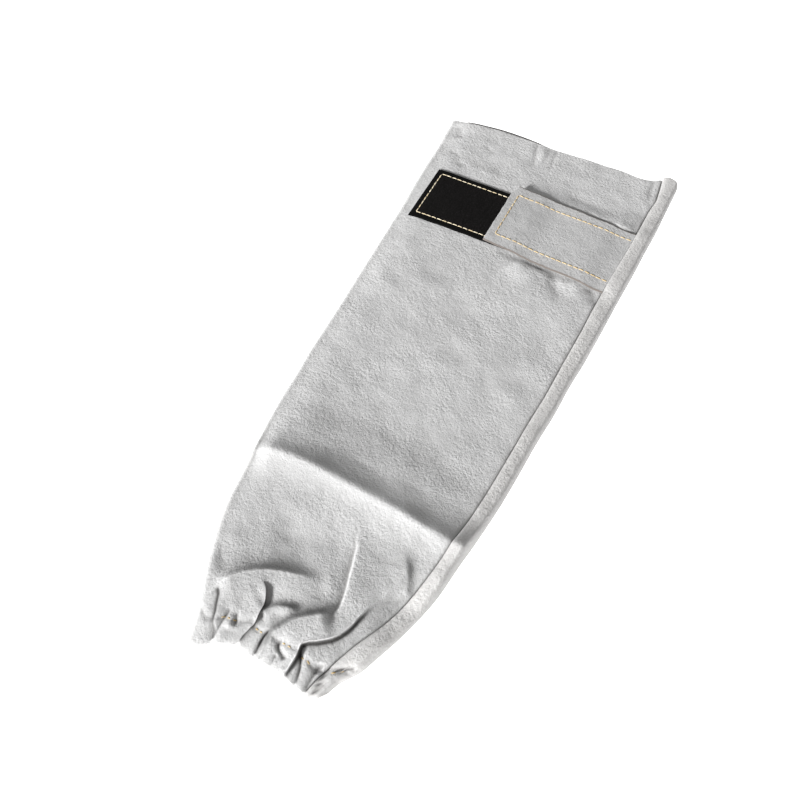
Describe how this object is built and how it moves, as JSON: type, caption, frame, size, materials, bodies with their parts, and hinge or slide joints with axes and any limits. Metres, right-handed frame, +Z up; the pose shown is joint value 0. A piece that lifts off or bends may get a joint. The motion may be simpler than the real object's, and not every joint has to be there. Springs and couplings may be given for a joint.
{
  "type": "welding sleeve",
  "caption": "Tube-shaped protective arm sleeve of split leather, lying flat, with a gathered elastic wrist and a strap that fastens over a loop patch at the upper arm.",
  "frame": {"origin": "centre of the bounding box at its underside, on the surface that the sleeve rests on", "axes": "+Y from the gathered wrist to the opening at the upper arm, +X to the seam, +Z up from the surface"},
  "size_m": [0.1718, 0.4194, 0.0251],
  "materials": {
    "suede": "matt napped split cowhide, light grey",
    "loop_tape": "black looped pile with a woven edge",
    "hook_tape": "black woven tape with fine plastic hooks",
    "elastic": "off-white woven elastic",
    "thread": "cream-yellow spun sewing thread"
  },
  "bodies": {
    "root": {"leather_sleeve": "suede", "closing_strap": "suede", "loop_patch": "loop_tape", "hook_tape": "hook_tape", "cuff_elastic": "elastic"}
  },
  "joints": []
}
